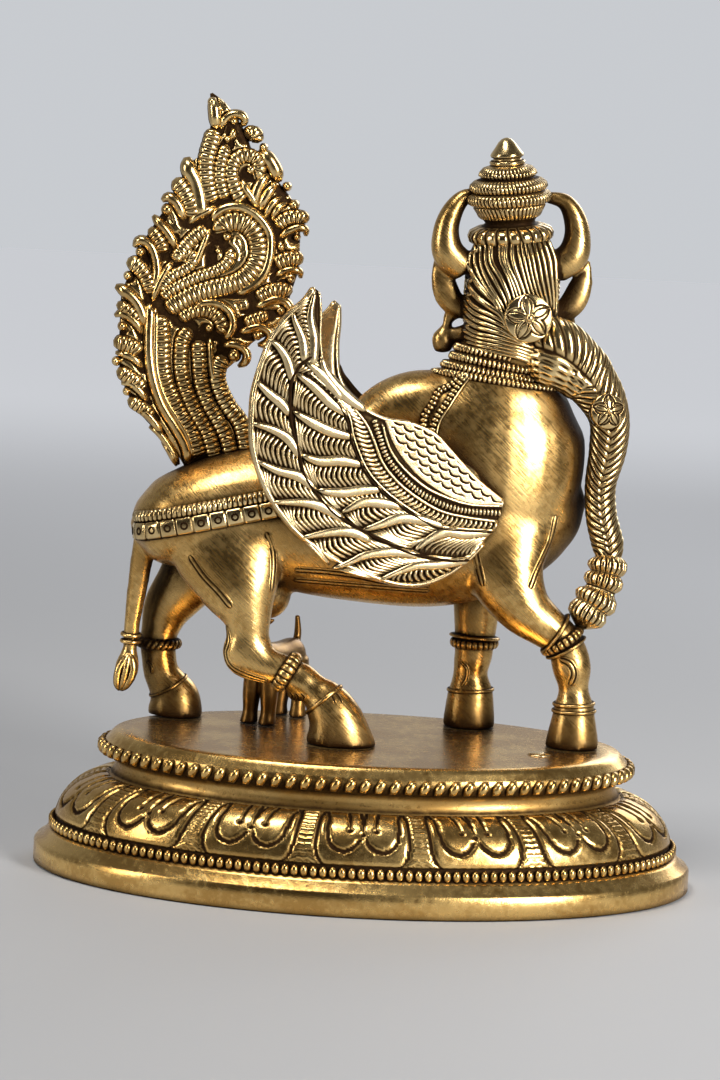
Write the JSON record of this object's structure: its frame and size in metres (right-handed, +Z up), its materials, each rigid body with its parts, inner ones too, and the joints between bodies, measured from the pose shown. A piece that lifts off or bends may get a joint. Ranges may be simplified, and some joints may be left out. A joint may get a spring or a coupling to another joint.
{
  "type": "kamdhenu cow statue",
  "caption": "Brass kamdhenu: winged cow with a crowned woman's head and a peacock's tail, walking on an oval lotus plinth beside her calf.",
  "frame": {"origin": "centre of the plinth's underside", "axes": "+Z up; +X the way the cow walks; +Y towards her left side, the way her face looks"},
  "size_m": [0.1698, 0.1054, 0.1993],
  "materials": {
    "plinth_brass": "cast brass, satin to the touch, browned with age, worn paler on the lotus relief and the rims",
    "body_brass": "cast brass, fine brushed strokes on thighs and shoulder, dark brown in the cut lines",
    "carved_brass": "hand-cut brass, bright on the raised quills, dark brown between them",
    "plume_brass": "hand-cut brass, golden on the ribbed strands, dark brown between them",
    "calf_brass": "cast brass, browned with age"
  },
  "bodies": {
    "root": {"plinth": "plinth_brass", "cow": "body_brass", "near_wing": "carved_brass", "far_wing": "carved_brass", "peacock_tail": "plume_brass", "calf": "calf_brass"}
  },
  "joints": []
}
